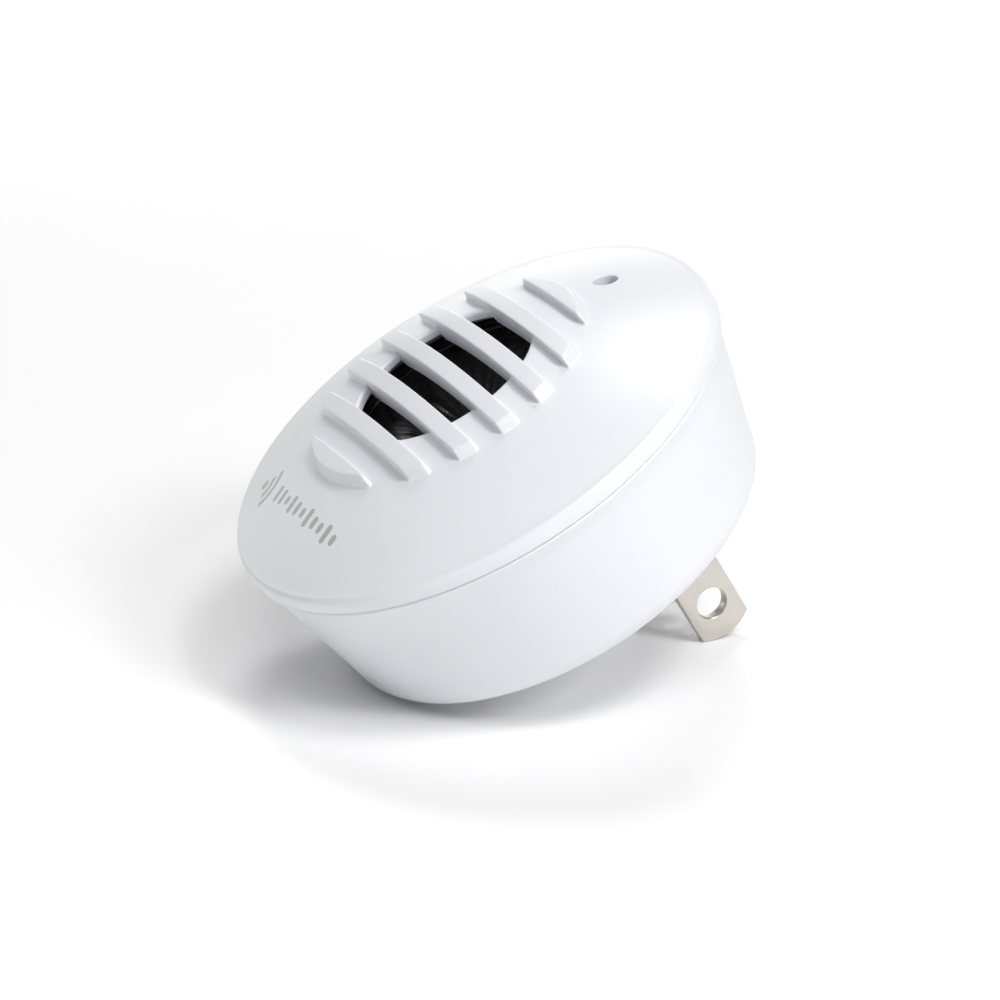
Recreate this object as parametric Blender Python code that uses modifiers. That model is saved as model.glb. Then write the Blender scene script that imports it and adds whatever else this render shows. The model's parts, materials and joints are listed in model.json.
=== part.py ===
"""Round plug-in ultrasonic pest repeller, lying on a table.

It leans on the rear edge of its casing and on the tips of its two flat plug blades.
All lengths below are millimetres in the casing's own frame: the seam between cover
and body is the plane z = 0, +z looks out of the front, the grille's bars run along x,
and +y points to the indicator hole. One empty, CASE, carries everything and gives
the casing its lean, so the finished scene is in metres with +Z up and the table at 0.
"""

import math

import bmesh
import bpy
from mathutils import Matrix, Vector

MM = 0.001
GAP = 0.3                    # clearance between neighbouring pieces
ROUND = 72                   # sides of the large turned pieces
SMALL = 18                   # sides of the small round pieces

# --- casing ---------------------------------------------------------------
CASE_R = 30.0                # cover at its widest
BAND_H = 1.65                # height of the straight band round the cover
DOME_RISE = 7.6              # from the band up to the middle of the dome
WALL = 1.8
BODY_STEP = 0.5              # the body is this much smaller at the seam
BODY_DEPTH = 18.7
REAR_R = 26.1                # body radius where the rear rounding begins
REAR_ROUND = 3.0
TONGUE_H = 0.6               # the body's tongue stands this far into the cover
REBATE_H = 0.9               # room for the tongue inside the cover's rim
LIP_R = 0.8                  # rounding of the cover's rim

# --- grille ---------------------------------------------------------------
BAR_PITCH = 5.25
BAR_W = 2.12
BARS = 5
GRILLE_FOOT_R = 17.15        # where the bar ends meet the dome
GRILLE_TOP_R = 16.6
BAR_TOP_MID = 10.2           # height of the bar tops in the middle and at the ends
BAR_TOP_END = 8.35
OPENING_R = 10.95
BAR_ROOT = 0.8               # how far the bars reach into the wall
LEDGE = 0.02                 # the openings are this much inside the bars' sides
PAD_DIP = 1.4                # the end facets run on into the dome by this share
SLAB_X = 20.0                # half length of the slabs that cut bars and openings
SLAB_TOP = 14.0

# --- indicator ------------------------------------------------------------
LED_Y = 21.1
LED_HOLE_R = 1.4
LED_R = 1.5
LED_TOP = 1.8
LED_LEN = 4.6
LED_PITCH = 2.54

# --- plug blades ----------------------------------------------------------
BLADE_W = 6.35
BLADE_T = 1.52
BLADE_X = 6.35               # half the distance between the blades
BLADE_Y = 10.8
BLADE_LEN = 17.75            # out of the rear face, to the top of the tip's arc
BLADE_TIP_R = 5.3
BLADE_HOLE_R = 1.85
BLADE_HOLE_OUT = 13.2        # hole centre out of the rear face
SHOULDER_W = 8.6
SHOULDER_TOP = -13.0
TANG_W = 3.0
TANG_TOP = -9.5

# --- fastening ------------------------------------------------------------
TOWER_R = 3.8
TOWER_TOP = -6.0
TOWER_PLACES = ((0.0, -20.0), (17.3, 10.0), (-17.3, 10.0))
WELL_R = 2.6
WELL_TOP = -9.0
BOSS_R = 2.6
PILOT_R = 1.35
SHANK_R = 1.05
HEAD_H = 1.3
PILOT_END = 2.0              # depth of the cover's screw holes
SCREW_HEAD_R = 2.1
CLAMP_BOSS_X = 19.0
CLAMP_BOSS_R = 2.1
CLAMP_BOSS_LOW = 3.4
SLIM_PILOT_R = 1.05
SLIM_PILOT_END = 4.6
SLIM_SHANK_R = 0.72
SLIM_HEAD_R = 1.7

# --- inside ---------------------------------------------------------------
BOARD_R = 24.0
BOARD_TOP = -6.6
BOARD_T = 1.6
BOARD_UNDER = BOARD_TOP - BOARD_T
BOARD_POSTS = ((13.5, -16.5), (-13.5, -16.5))
PLATE_Z = (-12.7, -10.7)
PLATE_X = 9.0
PLATE_Y = (1.9, 19.7)
PLATE_SCREW_Y = (4.2, 17.4)
POST_R = 2.4

FRAME_R = 16.0
FRAME_TOP = 4.8
FRAME_BACK = -3.4
BASKET_R = 15.0
CONE_R = 13.0
CONE_RIM = 4.1
CONE_NECK_R = 2.6
CONE_NECK = -0.6
CONE_T = 0.5
BRASS_R = 6.5
CERAMIC_R = 4.8
PIEZO_T = 0.25
CLAMP_LOW = 1.6
EAR_X = (16.2, 21.0)
EAR_Y = 2.3
TAB_X = 6.0

FLOOR_PLANE = -BODY_DEPTH + WALL    # inner face of the rear wall


def lean():
    """The casing's lean, where one plane touches its rear rounding and both blade tips."""
    edge = Vector((-(REAR_R - REAR_ROUND), -(BODY_DEPTH - REAR_ROUND)))
    tip = Vector((BLADE_Y, -(BODY_DEPTH + BLADE_LEN - BLADE_TIP_R)))
    across = tip - edge
    slope = math.atan2(across.y, across.x)
    turn = math.asin((REAR_ROUND - BLADE_TIP_R) / across.length)
    return -(slope + turn)


# --- scene, materials and helpers -----------------------------------------

def clear_scene():
    for obj in list(bpy.data.objects):
        bpy.data.objects.remove(obj, do_unlink=True)


def collection(name):
    group = bpy.data.collections.new(name)
    bpy.context.scene.collection.children.link(group)
    return group


def material(name, colour, roughness=0.4, metallic=0.0):
    mat = bpy.data.materials.new(name)
    mat.use_nodes = True
    shader = mat.node_tree.nodes["Principled BSDF"]
    shader.inputs["Base Color"].default_value = (*colour, 1.0)
    shader.inputs["Roughness"].default_value = roughness
    shader.inputs["Metallic"].default_value = metallic
    return mat


clear_scene()
PARTS = collection("pest_repeller")
CUTTERS = collection("cutters")
CASE = bpy.data.objects.new("casing_frame", None)
PARTS.objects.link(CASE)

WHITE = material("white_abs", (0.86, 0.87, 0.9), 0.35)
NICKEL = material("nickel", (0.62, 0.59, 0.54), 0.3, 1.0)
STEEL = material("screw_steel", (0.55, 0.55, 0.56), 0.35, 1.0)
BRASS = material("brass", (0.75, 0.58, 0.28), 0.3, 1.0)
BLACK = material("black_plastic", (0.02, 0.02, 0.022), 0.25)
RUBBER = material("black_rubber", (0.03, 0.03, 0.03), 0.7)
CERAMIC = material("piezo_ceramic", (0.8, 0.79, 0.74), 0.5)
PHENOLIC = material("board_laminate", (0.55, 0.36, 0.16), 0.6)
LED_RED = material("led_epoxy", (0.55, 0.04, 0.03), 0.15)
TINNED = material("tinned_wire", (0.7, 0.7, 0.7), 0.3, 1.0)
YELLOW = material("yellow_film", (0.75, 0.55, 0.08), 0.4)
BLUE = material("blue_coat", (0.07, 0.16, 0.45), 0.4)
TAN = material("tan_coat", (0.66, 0.47, 0.27), 0.5)
GREEN = material("green_coat", (0.1, 0.3, 0.2), 0.5)
FERRITE = material("ferrite", (0.08, 0.075, 0.07), 0.6)
COPPER = material("copper_winding", (0.6, 0.25, 0.1), 0.35, 1.0)
ORANGE = material("orange_glass", (0.6, 0.2, 0.06), 0.2)
WIRE_RED = material("red_wire", (0.5, 0.03, 0.03), 0.5)
WIRE_BLACK = material("black_wire", (0.025, 0.025, 0.025), 0.5)


def place(name, mesh, mat=None, cutter=False):
    obj = bpy.data.objects.new(name, mesh)
    if cutter:
        CUTTERS.objects.link(obj)
        obj.hide_render = True
        obj.display_type = "WIRE"
    else:
        PARTS.objects.link(obj)
    obj.parent = CASE
    if mat:
        obj.data.materials.append(mat)
    return obj


def mesh_from(name, bm, angle=35):
    bmesh.ops.scale(bm, vec=(MM, MM, MM), verts=bm.verts)
    mesh = bpy.data.meshes.new(name)
    bm.to_mesh(mesh)
    bm.free()
    mesh.shade_smooth()
    mesh.set_sharp_from_angle(angle=math.radians(angle))
    return mesh


def add_box(bm, low, high):
    size = Vector(high) - Vector(low)
    middle = (Vector(high) + Vector(low)) / 2
    made = bmesh.ops.create_cube(bm, size=1.0)["verts"]
    bmesh.ops.scale(bm, vec=size, verts=made)
    bmesh.ops.translate(bm, vec=middle, verts=made)


def add_rod(bm, radius, start, end, sides=SMALL, end_radius=None):
    start, end = Vector(start), Vector(end)
    along = end - start
    turn = Vector((0, 0, 1)).rotation_difference(along).to_matrix().to_4x4()
    far = radius if end_radius is None else end_radius
    bmesh.ops.create_cone(bm, cap_ends=True, segments=sides, radius1=radius, radius2=far,
                          depth=along.length,
                          matrix=Matrix.Translation((start + end) / 2) @ turn)


def box(name, low, high, mat, bevel=0.0):
    bm = bmesh.new()
    add_box(bm, low, high)
    obj = place(name, mesh_from(name, bm), mat)
    if bevel:
        soften(obj, bevel)
    return obj


def rod(name, radius, start, end, mat, sides=SMALL, bevel=0.0):
    bm = bmesh.new()
    add_rod(bm, radius, start, end, sides)
    obj = place(name, mesh_from(name, bm), mat)
    if bevel:
        soften(obj, bevel)
    return obj


def soften(obj, width, segments=2, angle=40):
    edge = obj.modifiers.new("soften", "BEVEL")
    edge.width = width * MM
    edge.segments = segments
    edge.limit_method = "ANGLE"
    edge.angle_limit = math.radians(angle)
    return edge


def turned(name, profile, mat=None, sides=ROUND, ring=False, centre=(0.0, 0.0), cutter=False):
    """A turned solid from (radius, height) points down its outer side, then back up."""
    bm = bmesh.new()
    points = [bm.verts.new((r * MM, 0, z * MM)) for r, z in profile]
    pairs = list(zip(points, points[1:]))
    if ring:
        pairs.append((points[-1], points[0]))
    for a, b in pairs:
        if a.co.x > 0 or b.co.x > 0:
            bm.edges.new((a, b))
    mesh = bpy.data.meshes.new(name)
    bm.to_mesh(mesh)
    bm.free()
    obj = place(name, mesh, mat, cutter)
    obj.location = (centre[0] * MM, centre[1] * MM, 0)
    screw = obj.modifiers.new("turn", "SCREW")
    screw.angle = math.tau
    screw.steps = screw.render_steps = sides
    screw.use_merge_vertices = True
    screw.merge_threshold = 1e-6
    screw.use_smooth_shade = True
    return obj


def tool(name, bm):
    return place(name, mesh_from(name, bm), cutter=True)


def combine(obj, other, how):
    step = obj.modifiers.new(how.lower() + "_" + other.name, "BOOLEAN")
    step.operation = how
    step.object = other
    step.solver = "EXACT"


def arc(centre, radius, start, end, steps):
    """Points on an arc, angles in degrees, in the (radius, height) plane."""
    turns = [math.radians(start + (end - start) * i / steps) for i in range(steps + 1)]
    return [(centre[0] + radius * math.cos(t), centre[1] + radius * math.sin(t)) for t in turns]


def steps_between(low, high, count):
    return [low + (high - low) * i / count for i in range(count + 1)]


# --- casing ---------------------------------------------------------------

def dome(r):
    return BAND_H + DOME_RISE * (1 - (r / CASE_R) ** 2)


def bar_top(r):
    return BAR_TOP_MID - (BAR_TOP_MID - BAR_TOP_END) * (r / GRILLE_TOP_R) ** 2


def bar_edges():
    """The y of both sides of each bar, lowest first."""
    middles = [(i - (BARS - 1) / 2) * BAR_PITCH for i in range(BARS)]
    return [(y - BAR_W / 2, y + BAR_W / 2) for y in middles]


def grille_pad():
    """A turned pad whose domed top the bars and the two crescents share."""
    profile = [(r, bar_top(r)) for r in steps_between(0.0, GRILLE_TOP_R, 8)]
    run, fall = GRILLE_FOOT_R - GRILLE_TOP_R, BAR_TOP_END - dome(GRILLE_FOOT_R)
    profile.append((GRILLE_TOP_R + PAD_DIP * run, BAR_TOP_END - PAD_DIP * fall))
    inset = steps_between(0.0, GRILLE_FOOT_R - 0.7, 4)
    profile += [(r, dome(r) - BAR_ROOT) for r in reversed(inset)]
    pad = turned("grille_pad", profile, cutter=True)
    pad.rotation_euler.z = math.pi / ROUND
    return pad


def grille_slabs(name, spans):
    bm = bmesh.new()
    for low, high in spans:
        add_box(bm, (-SLAB_X, low, 0), (SLAB_X, high, SLAB_TOP))
    return tool(name, bm)


def front_cover():
    inner_r = CASE_R - WALL
    outer = [(r, dome(r)) for r in steps_between(0.0, CASE_R - 0.6, 11)]
    rim = arc((CASE_R - LIP_R, BAND_H - 0.45), LIP_R, 50, 0, 4) + [(CASE_R - 0.05, 0.0)]
    inside = [(inner_r, 0.0), (inner_r, REBATE_H)]
    inside += [(r, dome(r) - WALL) for r in reversed(steps_between(0.0, inner_r - 1.7, 7))]
    cover = turned("front_cover", outer + rim + inside, WHITE)

    edges = bar_edges()
    half = edges[-1][1] + BAR_PITCH - BAR_W
    pad = grille_pad()
    crescents = [(-SLAB_X, -half), (half, SLAB_X)]
    combine(pad, grille_slabs("bar_slabs", edges + crescents), "INTERSECT")
    combine(cover, pad, "UNION")

    bosses = bmesh.new()
    for x, y in TOWER_PLACES:
        add_rod(bosses, BOSS_R, (x, y, TOWER_TOP + GAP), (x, y, dome(math.hypot(x, y)) - 1.0))
    for side in (-1, 1):
        x = side * CLAMP_BOSS_X
        add_rod(bosses, CLAMP_BOSS_R, (x, 0, CLAMP_BOSS_LOW), (x, 0, dome(CLAMP_BOSS_X) - 1.0))
    combine(cover, tool("boss_tool", bosses), "UNION")

    holes = bmesh.new()
    for x, y in TOWER_PLACES:
        add_rod(holes, PILOT_R, (x, y, TOWER_TOP - 1), (x, y, PILOT_END))
    for side in (-1, 1):
        x = side * CLAMP_BOSS_X
        add_rod(holes, SLIM_PILOT_R, (x, 0, CLAMP_BOSS_LOW - 1), (x, 0, SLIM_PILOT_END))
    add_rod(holes, LED_HOLE_R, (0, LED_Y, 0), (0, LED_Y, SLAB_TOP), 32)
    combine(cover, tool("cover_holes", holes), "DIFFERENCE")

    disc = bmesh.new()
    add_rod(disc, OPENING_R, (0, 0, FRAME_BACK), (0, 0, SLAB_TOP), ROUND)
    openings = tool("opening_disc", disc)
    gaps = [(a[1] + LEDGE, b[0] - LEDGE) for a, b in zip(edges, edges[1:])]
    combine(openings, grille_slabs("opening_slabs", gaps), "INTERSECT")
    combine(cover, openings, "DIFFERENCE")
    return cover


def rear_body():
    top = CASE_R - BODY_STEP
    start = -GAP
    cone = math.degrees(math.atan2(top - REAR_R, BODY_DEPTH - REAR_ROUND + start))
    centre = (REAR_R - REAR_ROUND, -(BODY_DEPTH - REAR_ROUND))
    tongue_r = CASE_R - WALL - GAP
    outer = [(tongue_r, TONGUE_H), (tongue_r, start), (top, start)]
    outer += arc(centre, REAR_ROUND, -cone, -90, 6)
    outer.append((0.0, -BODY_DEPTH))
    inner = [(0.0, FLOOR_PLANE), (centre[0] - 0.5, FLOOR_PLANE)]
    inner += [(REAR_R - WALL - 0.3, FLOOR_PLANE + 1.6), (tongue_r - 1.0, start - 1.0)]
    inner.append((tongue_r - 1.0, TONGUE_H))
    body = turned("rear_body", outer + inner, WHITE, ring=True)

    posts = bmesh.new()
    root = FLOOR_PLANE - 0.8
    for x, y in TOWER_PLACES:
        add_rod(posts, TOWER_R, (x, y, root), (x, y, TOWER_TOP))
    for x, y in BOARD_POSTS:
        add_rod(posts, POST_R, (x, y, root), (x, y, BOARD_UNDER - GAP))
    for y in PLATE_SCREW_Y:
        add_rod(posts, POST_R, (0, y, root), (0, y, PLATE_Z[0] - GAP))
    combine(body, tool("post_tool", posts), "UNION")

    holes = bmesh.new()
    for x, y in TOWER_PLACES:
        add_rod(holes, WELL_R, (x, y, -BODY_DEPTH - 1), (x, y, WELL_TOP))
    for x, y in BOARD_POSTS:
        add_rod(holes, PILOT_R, (x, y, BOARD_UNDER - 5), (x, y, BOARD_UNDER + 1))
    for y in PLATE_SCREW_Y:
        add_rod(holes, PILOT_R, (0, y, PLATE_Z[0] - 3.4), (0, y, PLATE_Z[0] + 1))
    combine(body, tool("body_holes", holes), "DIFFERENCE")
    through = bmesh.new()
    for x, y in TOWER_PLACES:
        add_rod(through, PILOT_R, (x, y, WELL_TOP - 1), (x, y, TOWER_TOP + 1))
    for side in (-1, 1):
        wide, thick = BLADE_W / 2 + GAP, BLADE_T / 2 + GAP
        x = side * BLADE_X
        add_box(through, (x - thick, BLADE_Y - wide, -BODY_DEPTH - 1), (x + thick, BLADE_Y + wide, -15))
    combine(body, tool("body_openings", through), "DIFFERENCE")
    return body


def screw(name, x, y, seat, tip, head_r, up=1):
    """A pan-head screw whose head lies below its seat (up = 1) or above it (up = -1)."""
    edge = seat - up * GAP
    far = edge - up * HEAD_H
    profile = [(0.0, far), (head_r - 0.4, far), (head_r, far + up * 0.5), (head_r, edge),
               (SHANK_R, edge), (SHANK_R, tip - up * 0.8), (0.25, tip), (0.0, tip)]
    if up > 0:
        profile.reverse()
    return turned(name, profile, STEEL, SMALL, centre=(x, y))


# --- plug -----------------------------------------------------------------

def blade(name, side):
    """A flat blade with a round tip, shoulders inside the wall and a tang to solder to."""
    low = -(BODY_DEPTH + BLADE_LEN)
    half = BLADE_W / 2
    seat = FLOOR_PLANE + GAP
    reach = math.degrees(math.asin(half / BLADE_TIP_R))
    tip = arc((0, low + BLADE_TIP_R), BLADE_TIP_R, -90 - reach, -90 + reach, 10)
    bevel = 0.4
    right = [(half, seat), (SHOULDER_W / 2, seat + bevel), (SHOULDER_W / 2, SHOULDER_TOP - bevel),
             (TANG_W / 2, SHOULDER_TOP), (TANG_W / 2, TANG_TOP)]
    outline = tip + right + [(-y, z) for y, z in reversed(right)]
    curve = bpy.data.curves.new(name, "CURVE")
    curve.dimensions = "2D"
    curve.fill_mode = "BOTH"
    curve.extrude = BLADE_T / 2
    line = curve.splines.new("POLY")
    line.points.add(len(outline) - 1)
    for point, (y, z) in zip(line.points, outline):
        point.co = (y, z, 0, 1)
    line.use_cyclic_u = True
    flat = bpy.data.objects.new(name + "_outline", curve)
    PARTS.objects.link(flat)
    mesh = as_mesh(flat, name)
    stand = Matrix(((0, 0, 1, 0), (1, 0, 0, 0), (0, 1, 0, 0), (0, 0, 0, 1)))
    mesh.transform(Matrix.Scale(MM, 4) @ stand)
    obj = place(name, mesh, NICKEL)
    obj.location = (side * BLADE_X * MM, BLADE_Y * MM, 0)
    hole = bmesh.new()
    out = -(BODY_DEPTH + BLADE_HOLE_OUT)
    add_rod(hole, BLADE_HOLE_R, (-3, 0, out), (3, 0, out), 32)
    cutter = tool(name + "_hole", hole)
    cutter.location = obj.location
    combine(obj, cutter, "DIFFERENCE")
    return obj


def as_mesh(obj, name):
    """The evaluated curve as a closed mesh; the curve object is removed."""
    graph = bpy.context.evaluated_depsgraph_get()
    mesh = bpy.data.meshes.new_from_object(obj.evaluated_get(graph))
    mesh.name = name
    bpy.data.objects.remove(obj, do_unlink=True)
    bm = bmesh.new()
    bm.from_mesh(mesh)
    bmesh.ops.remove_doubles(bm, verts=bm.verts, dist=1e-4)
    bmesh.ops.dissolve_limit(bm, angle_limit=0.01, verts=bm.verts, edges=bm.edges)
    bmesh.ops.recalc_face_normals(bm, faces=bm.faces)
    bm.to_mesh(mesh)
    bm.free()
    return mesh


def blade_plate():
    plate = box("blade_retainer", (-PLATE_X, PLATE_Y[0], PLATE_Z[0]),
                (PLATE_X, PLATE_Y[1], PLATE_Z[1]), BLACK, 0.4)
    cuts = bmesh.new()
    for side in (-1, 1):
        x, wide, thick = side * BLADE_X, TANG_W / 2 + GAP, BLADE_T / 2 + GAP
        add_box(cuts, (x - thick, BLADE_Y - wide, -14), (x + thick, BLADE_Y + wide, -9))
    for y in PLATE_SCREW_Y:
        add_rod(cuts, PILOT_R, (0, y, -14), (0, y, -9))
    combine(plate, tool("plate_holes", cuts), "DIFFERENCE")
    return plate


def plug():
    blade("blade_left", -1)
    blade("blade_right", 1)
    blade_plate()
    for name, y in zip(("retainer_screw_inner", "retainer_screw_outer"), PLATE_SCREW_Y):
        screw(name, 0, y, PLATE_Z[1], PLATE_Z[0] - 2.6, SCREW_HEAD_R, up=-1)


# --- tweeter --------------------------------------------------------------

def tweeter():
    lip = FRAME_TOP - 1.5
    frame = [(FRAME_R, FRAME_TOP), (FRAME_R, lip), (BASKET_R, lip), (BASKET_R, FRAME_BACK + 0.6),
             (BASKET_R - 0.6, FRAME_BACK), (0.0, FRAME_BACK)]
    frame += [(0.0, FRAME_BACK + 1.0), (BASKET_R - 1.6, FRAME_BACK + 1.0),
              (BASKET_R - 1.0, FRAME_BACK + 1.6), (BASKET_R - 1.0, FRAME_TOP)]
    turned("speaker_frame", frame, BLACK, 48, ring=True)

    rim = CONE_R + GAP
    ring = arc((rim + 0.35, CONE_RIM - 0.1), 0.33, 180, -180, 6)[:-1]
    turned("speaker_surround", ring, RUBBER, 48, ring=True)

    slope = [(CONE_R, CONE_RIM), (CONE_R, CONE_RIM - CONE_T)]
    slope += [(CONE_NECK_R + 0.6, CONE_NECK), (0.0, CONE_NECK)]
    slope += [(0.0, CONE_NECK + CONE_T), (CONE_NECK_R, CONE_NECK + CONE_T)]
    turned("speaker_cone", slope, BLACK, 48, ring=True)

    top = CONE_NECK + CONE_T + GAP
    cap = [(0.0, top + 1.2)] + arc((0, top - 1.2), 2.4, 80, 30, 5) + [(0.0, top)]
    turned("dust_cap", cap, BLACK, 24)

    disc = CONE_NECK - GAP
    for name, radius, mat in (("piezo_brass_disc", BRASS_R, BRASS),
                              ("piezo_ceramic_disc", CERAMIC_R, CERAMIC)):
        low = disc - PIEZO_T
        turned(name, [(0.0, disc), (radius, disc), (radius, low), (0.0, low)], mat, 32)
        disc = low - GAP

    low, high = CLAMP_LOW, lip - GAP
    clamp = turned("speaker_clamp", [(FRAME_R + 1.0, high), (FRAME_R + 1.0, low),
                                     (BASKET_R + GAP, low), (BASKET_R + GAP, high)],
                   WHITE, 48, ring=True)
    ears = bmesh.new()
    for side in (-1, 1):
        near, far = sorted((side * EAR_X[0], side * EAR_X[1]))
        add_box(ears, (near, -EAR_Y, low), (far, EAR_Y, high))
    combine(clamp, tool("clamp_ears", ears), "UNION")
    bores = bmesh.new()
    for side in (-1, 1):
        x = side * CLAMP_BOSS_X
        add_rod(bores, PILOT_R, (x, 0, low - 1), (x, 0, high + 1))
    combine(clamp, tool("clamp_bores", bores), "DIFFERENCE")
    for name, side in (("clamp_screw_left", -1), ("clamp_screw_right", 1)):
        slim_screw(name, side * CLAMP_BOSS_X, low)
    for name, side in (("speaker_tab_left", -1), ("speaker_tab_right", 1)):
        x = side * TAB_X
        box(name, (x - 0.9, -18.6, -0.9), (x + 0.9, -15.2, -0.5), BRASS)


def slim_screw(name, x, seat):
    edge = seat - GAP
    tip, low = SLIM_PILOT_END - 0.4, edge - 1.1
    turned(name, [(0.0, tip), (0.2, tip), (SLIM_SHANK_R, tip - 0.6), (SLIM_SHANK_R, edge),
                  (SLIM_HEAD_R, edge), (SLIM_HEAD_R, edge - 0.7), (SLIM_HEAD_R - 0.4, low), (0.0, low)],
           STEEL, SMALL, centre=(x, 0))


# --- circuit --------------------------------------------------------------

def circuit_board():
    bm = bmesh.new()
    add_rod(bm, BOARD_R, (0, 0, BOARD_UNDER), (0, 0, BOARD_TOP), ROUND)
    board = place("circuit_board", mesh_from("circuit_board", bm), PHENOLIC)
    cuts = bmesh.new()
    for x, y in TOWER_PLACES:
        add_rod(cuts, TOWER_R + 0.4, (x, y, BOARD_UNDER - 1), (x, y, BOARD_TOP + 1), 32)
    for x, y in BOARD_POSTS:
        add_rod(cuts, PILOT_R, (x, y, BOARD_UNDER - 1), (x, y, BOARD_TOP + 1))
    combine(board, tool("board_cuts", cuts), "DIFFERENCE")
    for name, (x, y) in zip(("board_screw_right", "board_screw_left"), BOARD_POSTS):
        screw(name, x, y, BOARD_TOP, BOARD_UNDER - 4.2, SCREW_HEAD_R, up=-1)


def indicator():
    base = LED_TOP - LED_LEN
    body = [(0.0, LED_TOP)] + arc((0, LED_TOP - LED_R), LED_R, 80, 0, 5)
    body += [(LED_R, base + 1.0), (LED_R + 0.4, base + 1.0), (LED_R + 0.4, base), (0.0, base)]
    turned("led_lamp", body, LED_RED, 20, centre=(0, LED_Y))
    for name, side in (("led_lead_anode", 1), ("led_lead_cathode", -1)):
        x = side * LED_PITCH / 2
        box(name, (x - 0.25, LED_Y - 0.25, BOARD_TOP + GAP), (x + 0.25, LED_Y + 0.25, base - GAP), TINNED)


def under(depth):
    """The height of a piece's centre when it hangs this deep under the board."""
    return BOARD_UNDER - GAP - depth


def over(height):
    return BOARD_TOP + GAP + height


def tall_components():
    top = BOARD_UNDER - GAP
    box("film_capacitor", (-16.5, -8.2, top - 7.4), (-3.5, -2.6, top), YELLOW, 0.5)
    rod("electrolytic_capacitor", 3.1, (2.5, -4.2, under(3.1)), (13.5, -4.2, under(3.1)), BLUE, 32, 0.4)
    rod("varistor", 3.4, (-19.4, 0, under(3.4)), (-16.8, 0, under(3.4)), BLUE, 32, 0.6)
    rod("fuse_resistor", 1.3, (-8.5, -9.8, under(1.3)), (-1.0, -9.8, under(1.3)), GREEN, 20, 0.4)
    for i in range(4):
        x = -9.6 + i * 3.2
        rod("rectifier_diode_%d" % (i + 1), 1.2, (x, -15.6, under(1.2)), (x, -11.5, under(1.2)),
            BLACK, 20, 0.2)


def coil():
    x, y = 11.0, -11.0
    top = BOARD_UNDER - GAP
    flange, core, depth = 3.2, 1.5, 6.6
    turned("coil_core", [(0.0, top), (flange, top), (flange, top - 1.0), (core, top - 1.0),
                         (core, top - depth + 1.0), (flange, top - depth + 1.0),
                         (flange, top - depth), (0.0, top - depth)], FERRITE, 24, centre=(x, y))
    turned("coil_winding", [(flange - 0.4, top - 1.0 - GAP), (flange - 0.4, top - depth + 1.0 + GAP),
                            (core + GAP, top - depth + 1.0 + GAP), (core + GAP, top - 1.0 - GAP)],
           COPPER, 24, ring=True, centre=(x, y))


def low_components():
    """Flat parts on the front of the board, under the tweeter."""
    box("oscillator_chip", (-2.5, -2.0, over(0)), (2.5, 2.0, over(1.5)), BLACK, 0.15)
    for i in range(4):
        y = -9.6 + i * 2.9 if i < 2 else 4.4 + (i - 2) * 2.9
        rod("resistor_%d" % (i + 1), 0.95, (-3.2, y, over(0.95)), (3.2, y, over(0.95)), TAN, 16, 0.2)
    rod("zener_diode", 0.85, (6.2, -1.8, over(0.85)), (6.2, 1.8, over(0.85)), ORANGE, 16, 0.2)
    for name, y in (("ceramic_capacitor_1", -3.6), ("ceramic_capacitor_2", -8.0)):
        rod(name, 2.0, (-19.2, y, over(2.0)), (-17.8, y, over(2.0)), TAN, 24, 0.4)
    transistor("driver_transistor_1", 19.6, -4.6)
    transistor("driver_transistor_2", 18.2, -10.4)


def transistor(name, x, y):
    bm = bmesh.new()
    add_rod(bm, 2.3, (x, y, over(0.6)), (x, y, over(4.8)), 24)
    cut = (x + 1.0, y, over(2.0))
    bmesh.ops.bisect_plane(bm, geom=bm.verts[:] + bm.edges[:] + bm.faces[:], dist=1e-5,
                           plane_co=cut, plane_no=(1, 0, 0), clear_outer=True)
    bmesh.ops.holes_fill(bm, edges=[e for e in bm.edges if e.is_boundary])
    place(name, mesh_from(name, bm), BLACK)


def wire(name, route, mat, thickness=1.1):
    """A lead through its points, read from a smooth curve."""
    points = [Vector(p) for p in route]
    padded = [2 * points[0] - points[1]] + points + [2 * points[-1] - points[-2]]
    smooth = []
    for i in range(1, len(padded) - 2):
        a, b, c, d = padded[i - 1:i + 3]
        for step in range(5):
            t = step / 5
            smooth.append(0.5 * ((2 * b) + (c - a) * t + (2 * a - 5 * b + 4 * c - d) * t * t
                                 + (3 * b - a - 3 * c + d) * t ** 3))
    smooth.append(points[-1])
    curve = bpy.data.curves.new(name, "CURVE")
    curve.dimensions = "3D"
    curve.bevel_depth = thickness / 2 * MM
    curve.bevel_resolution = 2
    curve.use_fill_caps = True
    line = curve.splines.new("POLY")
    line.points.add(len(smooth) - 1)
    for point, co in zip(line.points, smooth):
        point.co = (*(co * MM), 1)
    obj = bpy.data.objects.new(name, curve)
    PARTS.objects.link(obj)
    obj.parent = CASE
    curve.materials.append(mat)
    return obj


def wiring():
    tang = BLADE_X + BLADE_T / 2 + GAP
    for name, side, mat in (("mains_wire_right", 1, WIRE_BLACK), ("mains_wire_left", -1, WIRE_RED)):
        wire(name, [(side * (tang + 0.6), BLADE_Y, -9.9), (side * 9.6, 9.6, -9.8),
                    (side * 11.2, 6.6, -10.6), (side * 11.2, 3.4, -10.6),
                    (side * 10.4, 1.4, -9.8), (side * 10.2, 0.8, BOARD_UNDER - GAP)], mat)
    for name, side, mat in (("speaker_wire_red", -1, WIRE_RED), ("speaker_wire_black", 1, WIRE_BLACK)):
        wire(name, [(side * TAB_X, -18.0, -1.6), (side * 6.4, -18.6, -2.6), (side * 7.4, -18.6, -4.4),
                    (side * 7.8, -17.8, BOARD_TOP + GAP)], mat, 0.9)


# --- everything together --------------------------------------------------

def fastenings():
    names = ("case_screw_bottom", "case_screw_right", "case_screw_left")
    for name, (x, y) in zip(names, TOWER_PLACES):
        screw(name, x, y, WELL_TOP, 0.8, 2.2)


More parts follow.
